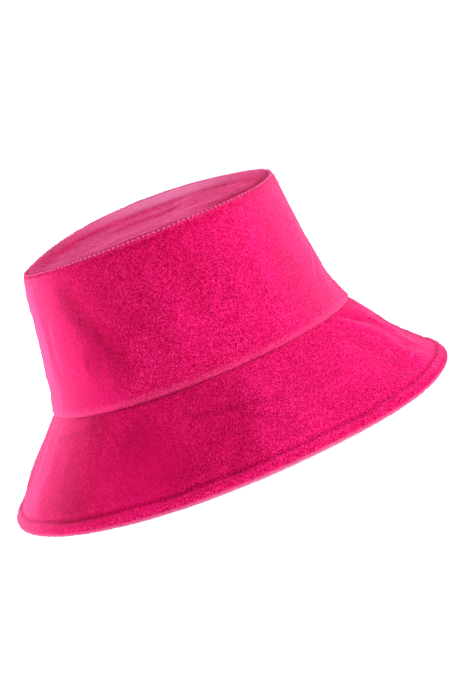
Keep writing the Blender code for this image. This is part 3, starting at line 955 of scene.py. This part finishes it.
def graded(tree, source, stops):
    """A colour for each value of source, from stops of (value, colour)."""
    ramp = tree.nodes.new("ShaderNodeValToRGB")
    while len(ramp.color_ramp.elements) < len(stops):
        ramp.color_ramp.elements.new(0.5)
    for element, (value, colour) in zip(ramp.color_ramp.elements, stops):
        element.position = value
        element.color = (*colour, 1)
    tree.links.new(source, ramp.inputs["Fac"])
    return ramp.outputs["Color"]


def blended(tree, mode, amount, first, second):
    """Second mixed over first, by a number or by a map."""
    mix = tree.nodes.new("ShaderNodeMix")
    mix.data_type = "RGBA"
    mix.blend_type = mode
    if isinstance(amount, float):
        mix.inputs[0].default_value = amount
    else:
        tree.links.new(amount, mix.inputs[0])
    tree.links.new(first, mix.inputs[6])
    tree.links.new(second, mix.inputs[7])
    return mix.outputs[2]


def bumped(tree, shader, source, distance, strength, under=None):
    """Relief from source, on top of any relief under it."""
    bump = tree.nodes.new("ShaderNodeBump")
    bump.inputs["Distance"].default_value = distance
    bump.inputs["Strength"].default_value = strength
    tree.links.new(source, bump.inputs["Height"])
    if under is not None:
        tree.links.new(under, bump.inputs["Normal"])
    tree.links.new(bump.outputs["Normal"], shader.inputs["Normal"])
    return bump.outputs["Normal"]


def scaled(colour, factor):
    return tuple(min(1.0, part * factor) for part in colour)


def attribute(tree, name):
    node = tree.nodes.new("ShaderNodeAttribute")
    node.attribute_name = name
    return node.outputs["Fac"]


def computed(tree, operation, first, second):
    """First combined with second, which is a number or a map."""
    math_node = tree.nodes.new("ShaderNodeMath")
    math_node.operation = operation
    tree.links.new(first, math_node.inputs[0])
    if isinstance(second, float):
        math_node.inputs[1].default_value = second
    else:
        tree.links.new(second, math_node.inputs[1])
    return math_node.outputs[0]


def deepened(tree, tone):
    """A shade whose green and blue fall faster than its red, as pink pile lights its own hollows pink."""
    together = tree.nodes.new("ShaderNodeCombineColor")
    for channel, power in (("Red", 1.0), ("Green", 2.2), ("Blue", 1.5)):
        tree.links.new(computed(tree, "POWER", tone, power), together.inputs[channel])
    return together.outputs["Color"]


def edge_sheen(tree):
    """How strongly the pile shines: more where it is seen edge on, less where its tone paints it darker."""
    slant = tree.nodes.new("ShaderNodeLayerWeight")
    edge_on = tree.nodes.new("ShaderNodeMapRange")
    edge_on.interpolation_type = "SMOOTHSTEP"
    edge_on.inputs["From Min"].default_value = 0.40
    edge_on.inputs["From Max"].default_value = 1.0
    edge_on.inputs["To Max"].default_value = 0.38
    tree.links.new(slant.outputs["Facing"], edge_on.inputs["Value"])
    shaded = computed(tree, "POWER", attribute(tree, "tone"), 2.5)
    return computed(tree, "MULTIPLY", edge_on.outputs["Result"], shaded)


def terry(name):
    """Looped towelling: painted highlights on loop tops over painted shade in the ground, random patches, a
    soft sheen, and painted light, shade and pale sheen from the mesh.
    """
    made, tree, shader = material(name, PINK, 0.95, 0.0, 0.35, (1.0, 0.45, 0.85))
    tree.links.new(edge_sheen(tree), shader.inputs["Sheen Weight"])
    loops = texture(tree, "ShaderNodeTexVoronoi", 1 / (0.95 * MM)).outputs["Distance"]
    grain = texture(tree, "ShaderNodeTexNoise", 1 / (0.85 * MM), 1.0).outputs["Fac"]
    clumps = texture(tree, "ShaderNodeTexNoise", 1 / (3.0 * MM), 1.0).outputs["Fac"]
    patches = texture(tree, "ShaderNodeTexNoise", 1 / (26 * MM), 2.0).outputs["Fac"]
    white = (1.0, 1.0, 1.0)
    # grain painted in the lit, half-shaded and shaded pinks of the loops
    mixed = graded(tree, grain, [(0.34, LOOP_SHADE), (0.50, LOOP_HALF_SHADE), (0.66, LOOP_HIGHLIGHT)])
    # painted shade between the loops, then clumps and patches that vary at random
    shades = [
        graded(tree, loops, [(0.20, white), (0.65, (0.72, 0.60, 0.66))]),
        graded(tree, clumps, [(0.38, (0.88, 0.80, 0.84)), (0.60, white)]),
        graded(tree, patches, [(0.30, (0.92, 0.88, 0.90)), (0.70, white)]),
    ]
    for shade in shades:
        mixed = blended(tree, "MULTIPLY", 1.0, mixed, shade)
    flat = tree.nodes.new("ShaderNodeRGB")
    flat.outputs[0].default_value = (*LOOP_MEAN, 1)
    mixed = blended(tree, "MIX", attribute(tree, "flat"), mixed, flat.outputs[0])
    mixed = blended(tree, "MULTIPLY", 1.0, mixed, deepened(tree, attribute(tree, "tone")))
    # a pale painted sheen, mixed in by the mesh's sheen value
    sheen_colour = graded(tree, loops, [(0.05, PAINTED_SHEEN_PINK), (0.70, scaled(PAINTED_SHEEN_PINK, 0.6))])
    mixed = blended(tree, "MIX", attribute(tree, "painted_sheen"), mixed, sheen_colour)
    tree.links.new(mixed, shader.inputs["Base Color"])
    coarse = bumped(tree, shader, grain, 0.7 * MM, 0.8)
    bumped(tree, shader, loops, -0.4 * MM, 0.7, coarse)
    return made


def woven(name, colour, thread_width, roughness):
    """Plain woven cloth: fine threads, with slight slubs."""
    made, tree, shader = material(name, colour, roughness, sheen=0.15)
    weave = texture(tree, "ShaderNodeTexVoronoi", 1 / thread_width, Randomness=0.35)
    slubs = texture(tree, "ShaderNodeTexNoise", 1 / (5 * MM), 3.0)
    tone = graded(tree, slubs.outputs["Fac"], [(0.3, scaled(colour, 0.84)), (0.7, scaled(colour, 1.06))])
    dots = graded(tree, weave.outputs["Distance"], [(0.0, (1, 1, 1)), (0.8, (0.82, 0.82, 0.82))])
    tree.links.new(blended(tree, "MULTIPLY", 1.0, tone, dots), shader.inputs["Base Color"])
    bumped(tree, shader, weave.outputs["Distance"], -0.12 * MM, 0.7)
    return made


def twisted(name, colour):
    """Sewing thread, with a slight sheen."""
    made, tree, shader = material(name, colour, 0.55, 0.1, 0.3, (1, 0.6, 0.8))
    twist = texture(tree, "ShaderNodeTexNoise", 1 / (0.3 * MM), 1.0)
    tone = graded(tree, twist.outputs["Fac"], [(0.3, scaled(colour, 0.8)), (0.7, scaled(colour, 1.1))])
    tree.links.new(tone, shader.inputs["Base Color"])
    bumped(tree, shader, twist.outputs["Fac"], 0.1 * MM, 0.6)
    return made


# ---------------------------------------------------------------- the pieces


def add(made, node, body="hat"):
    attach(made, body)
    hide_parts(node)


def add_cloth(made, node, body="hat"):
    """Adds a piece of cloth to its body, in place of the frame's part."""
    add(made, node, body)


def wall_pieces(looks):
    for word, side in SIDES:
        add_cloth(wall_panel(f"wall_terry_{word}", side, looks["terry"]), f"crown_side_{word}")
        low_z, rim_gap = SEAM_Z + 4 * MM, 7 * MM
        backing = wall_layer(
            f"wall_fusible_{word}", side, FUSIBLE_AT, FUSIBLE, low_z, rim_gap, looks["interlining"]
        )
        add_cloth(backing, f"crown_interlining_{word}")
        low_z, rim_gap = SEAM_Z + GAP, 4.4 * MM
        lining = wall_layer(
            f"wall_lining_{word}", side, LINING_AT, LINING, low_z, rim_gap, looks["lining"],
            cell=1.8 * MM, slack=1.3 * MM, rows=56
        )
        add_cloth(lining, f"lining_side_{word}")


def tip_pieces(looks):
    add_cloth(tip_cloth("tip_terry", looks["terry"]), "crown_tip")
    backing = tip_layer("tip_fusible", FUSIBLE_AT, FUSIBLE, 6 * MM, looks["interlining"])
    add_cloth(backing, "crown_tip_interlining")
    lining = tip_layer("tip_lining", LINING_AT, LINING, 4.4 * MM, looks["lining"], slack=1.2 * MM, count=90)
    add_cloth(lining, "lining_tip")


def brim_pieces(looks):
    for word, side in SIDES:
        add_cloth(brim_top(f"brim_terry_{word}", side, looks["terry"]), f"brim_top_{word}")
        under = brim_under(f"under_brim_terry_{word}", side, looks["terry"])
        add_cloth(under, f"brim_under_{word}")
        stiffener = brim_stiffener(f"brim_stiffener_{word}", side, looks["interlining"])
        add_cloth(stiffener, f"brim_interlining_{word}")


def sweatband(look):
    """Ribbon with fine ribs across it."""
    ribs = 520
    turn = np.linspace(0, 2 * np.pi, ribs * 2, endpoint=False)[:, None]
    rows = np.array([0.0, 0.25, 0.7, 1.4, 4, 8, 12, 16, 20, 24, 26.6, 27.3, 27.75, 28.0]) * MM
    height = SEAM_Z - 4 * MM + rows
    rib = 0.13 * MM * np.where(np.arange(ribs * 2) % 2 == 0, 1.0, -1.0)[:, None]
    inner_edge = np.minimum(rows, rows[::-1])
    rounding = 0.35 * MM * np.exp(-inner_edge / (0.5 * MM))
    selvedge = 1 - hump(inner_edge, 0.0, 1.2 * MM)
    wave = 0.5 * MM * bumps(ring_points(turn, height / 0.02, 5.0), 1.0, 91)
    loose = np.maximum(0, wave * smooth(rows, 6 * MM, 20 * MM))
    inner = wall_points(turn, height, BAND_AT + BAND + rib * selvedge - rounding + loose)
    outer = wall_points(turn, height[::-1], BAND_AT + rounding[::-1] + loose[:, ::-1])
    return swept("sweatband_ribbon", beside(inner, outer), look, ring=True)


def band_pieces(looks):
    low_z, high_z = SEAM_Z - 1.5 * MM, SEAM_Z + 10.5 * MM
    tape = wall_layer("seam_tape", 0, TAPE_AT, TAPE, low_z, 0, looks["tape"], high_z=high_z, rows=8)
    add_cloth(tape, "head_seam_tape")
    add_cloth(sweatband(looks["band"]), "sweatband")


def tip_seam_line(turn):
    """Along the rolled rim, a little outside its crest."""
    top = rim_height(turn) - RIM_TURN
    lean = math.radians(60)
    reach = RIM_TURN + 0.50 * MM
    radius = wall_places(turn, top, RIM_TURN) + reach * math.cos(lean)
    return radius, top + reach * math.sin(lean), math.cos(lean), math.sin(lean)


def head_seam_line(turn):
    height = SEAM_Z + 0.0 * turn
    return wall_places(turn, height, 1.4 * MM), height, 0.6, -0.8


def edge_line(side):
    """The row along the brim's edge, on its upper (1) or under (-1) face."""
    def line(turn):
        offset = side * (BRIM_HALF - 0.75 * MM)
        radius, height = brim_places(turn, offset, edge_seam(turn))
        return radius, height, side * OFF_BRIM[0], side * OFF_BRIM[1]
    return line


def band_line(turn):
    height = SEAM_Z - 2 * MM + 0.0 * turn
    return wall_places(turn, height, 6.45 * MM), height, -1.0, 0.0


def thread_pieces(looks):
    """The five rows of stitches. The tip's row is in a paler thread, painted highlight for light caught
    along the rim's crest, with shorter stitches.
    """
    count = stitches(RIM_SEAM_RADIUS)
    tip_row = stitch_row("tip_seam_stitches", tip_seam_line, count, looks["highlight_thread"], fill=0.52)
    add(tip_row, "tip_seam_thread")
    rows = [
        ("head_seam_stitches", head_seam_line, HEAD_SEAM_RADIUS, "head_seam_thread"),
        ("brim_edge_stitches", edge_line(1), EDGE_SEAM_RADIUS, "brim_edge_topstitch"),
        ("brim_edge_bobbin_stitches", edge_line(-1), EDGE_SEAM_RADIUS, "brim_edge_bobbin_thread"),
        ("sweatband_stitches", band_line, BAND_SEAM_RADIUS, "sweatband_stitch"),
    ]
    for name, line, radius, node in rows:
        add(stitch_row(name, line, stitches(radius), looks["thread"]), node)


def label_piece(look):
    """A blank folded satin label, slightly curled."""
    lo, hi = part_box("care_label")
    across = np.linspace(-1, 1, 25)[:, None]
    drop = np.concatenate([[0, 0.4, 1.0], np.linspace(2, 38, 30), [39.0, 39.6, 40.0]]) * MM
    x = across * (hi.x - lo.x) / 2
    middle = (lo.y + hi.y) / 2
    fall = drop / (40 * MM)
    curl = -2.4 * MM * fall ** 2 * (0.4 + 0.6 * across ** 2) - 0.8 * MM * across * fall
    hem = 0.12 * MM * hump(drop, 3.2 * MM, 0.5 * MM)
    foot = np.clip((drop - 38.6 * MM) / (1.4 * MM), 0, 1)
    half = 0.34 * MM * np.sqrt(np.clip(1 - foot ** 2, 0.04, 1)) - hem
    y = middle + curl
    z = hi.z - 0.4 * MM - drop
    front = np.stack(np.broadcast_arrays(x, y - half, z), axis=-1)
    back = np.stack(np.broadcast_arrays(x, y + half, z), axis=-1)[:, ::-1]
    return swept("blank_label", beside(front, back), look, ring=False)


# ---------------------------------------------------------------- stage, lights and camera

def stage():
    """A white floor that curves up far away all round."""
    profile = [
        (0.5, 0.0), (1.2, 0.0), (2.4, 0.0), (2.8, 0.06),
        (3.2, 0.28), (3.5, 0.7), (3.65, 1.3), (3.7, 2.2),
    ]
    turn = np.linspace(0, 2 * np.pi, 72, endpoint=False)
    rings = [np.stack([r * np.cos(turn), r * np.sin(turn), 0 * turn + z], -1) for r, z in profile]
    points = np.concatenate([np.zeros((1, 3))] + rings)
    index = 1 + np.arange(len(points) - 1).reshape(len(rings), len(turn))
    following = np.roll(index, -1, axis=1)
    faces = [[0, here, there] for here, there in zip(index[0].tolist(), following[0].tolist())]
    faces += quads_of(index[:-1], index[1:], following[1:], following[:-1])
    mesh = bpy.data.meshes.new("studio_floor")
    mesh.from_pydata(points.tolist(), [], faces)
    mesh.shade_smooth()
    floor = bpy.data.objects.new("studio_floor", mesh)
    bpy.context.scene.collection.objects.link(floor)
    made, _, shader = material("studio_white", (0.90, 0.90, 0.90), 0.9)
    shader.inputs["Emission Color"].default_value = (1, 1, 1, 1)
    shader.inputs["Emission Strength"].default_value = 0.58
    mesh.materials.append(made)


def soft_light(name, place, size, power):
    """A white disk of light facing the hat."""
    lamp = bpy.data.lights.new(name, "AREA")
    lamp.shape = "DISK"
    lamp.size = size
    lamp.energy = power
    made = bpy.data.objects.new(name, lamp)
    made.location = place
    made.rotation_euler = (Vector((0, 0, 0.08)) - Vector(place)).to_track_quat("-Z", "Y").to_euler()
    bpy.context.scene.collection.objects.link(made)


def lights():
    world = bpy.data.worlds.new("studio")
    world.use_nodes = True
    sky = world.node_tree.nodes["Background"]
    sky.inputs["Color"].default_value = (1, 1, 1, 1)
    sky.inputs["Strength"].default_value = 0.20
    bpy.context.scene.world = world
    soft_light("key", (1.80, -0.95, 1.15), 0.8, 54)
    soft_light("left_edge", (-1.75, 0.70, 0.70), 0.8, 54)
    soft_light("top", (0.1, 0.4, 2.2), 1.2, 12)


def camera():
    """A little above the brim, in front, and rolled so that the hat leans to the left."""
    middle = Vector((0, 0, 0.0764))
    distance, aside, below = 1.1226, 0.0290, 0.0166
    rise, roll = math.radians(8.1), math.radians(21.85)
    away = Vector((0, -math.cos(rise), math.sin(rise)))
    level_right, level_up = Vector((1, 0, 0)), Vector((0, math.sin(rise), math.cos(rise)))
    up = level_up * math.cos(roll) + level_right * math.sin(roll)
    right = level_right * math.cos(roll) - level_up * math.sin(roll)
    place = middle + distance * away
    aim = middle + aside * right - below * up
    back = (place - aim).normalized()
    right = up.cross(back).normalized()
    up = back.cross(right)
    data = bpy.data.cameras.new("camera")
    data.sensor_width = 36
    data.lens = 92.4
    made = bpy.data.objects.new("camera", data)
    rows = [(right[i], up[i], back[i], place[i]) for i in range(3)] + [(0, 0, 0, 1)]
    made.matrix_world = Matrix(rows)
    bpy.context.scene.collection.objects.link(made)
    bpy.context.scene.camera = made


def main():
    settle()
    looks = {
        "terry": terry("pink_terry"),
        "interlining": woven("white_fusible", (0.78, 0.77, 0.74), 0.5 * MM, 0.9),
        "lining": woven("pink_lining", (0.62, 0.010, 0.118), 0.4 * MM, 0.7),
        "tape": woven("white_tape", (0.82, 0.80, 0.77), 0.5 * MM, 0.8),
        "band": woven("pink_grosgrain", (0.56, 0.010, 0.108), 0.35 * MM, 0.6),
        "thread": twisted("pink_thread", (0.58, 0.004, 0.085)),
        # paler thread, painted highlight along the tip's seam
        "highlight_thread": twisted("highlight_pink_thread", (0.95, 0.120, 0.340)),
        "label": woven("white_satin", (0.86, 0.85, 0.83), 0.3 * MM, 0.45),
    }
    wall_pieces(looks)
    tip_pieces(looks)
    brim_pieces(looks)
    band_pieces(looks)
    thread_pieces(looks)
    add_cloth(label_piece(looks["label"]), "care_label", body="care_label")
    stage()
    lights()
    camera()
    bpy.context.scene.view_settings.view_transform = "Standard"


main()
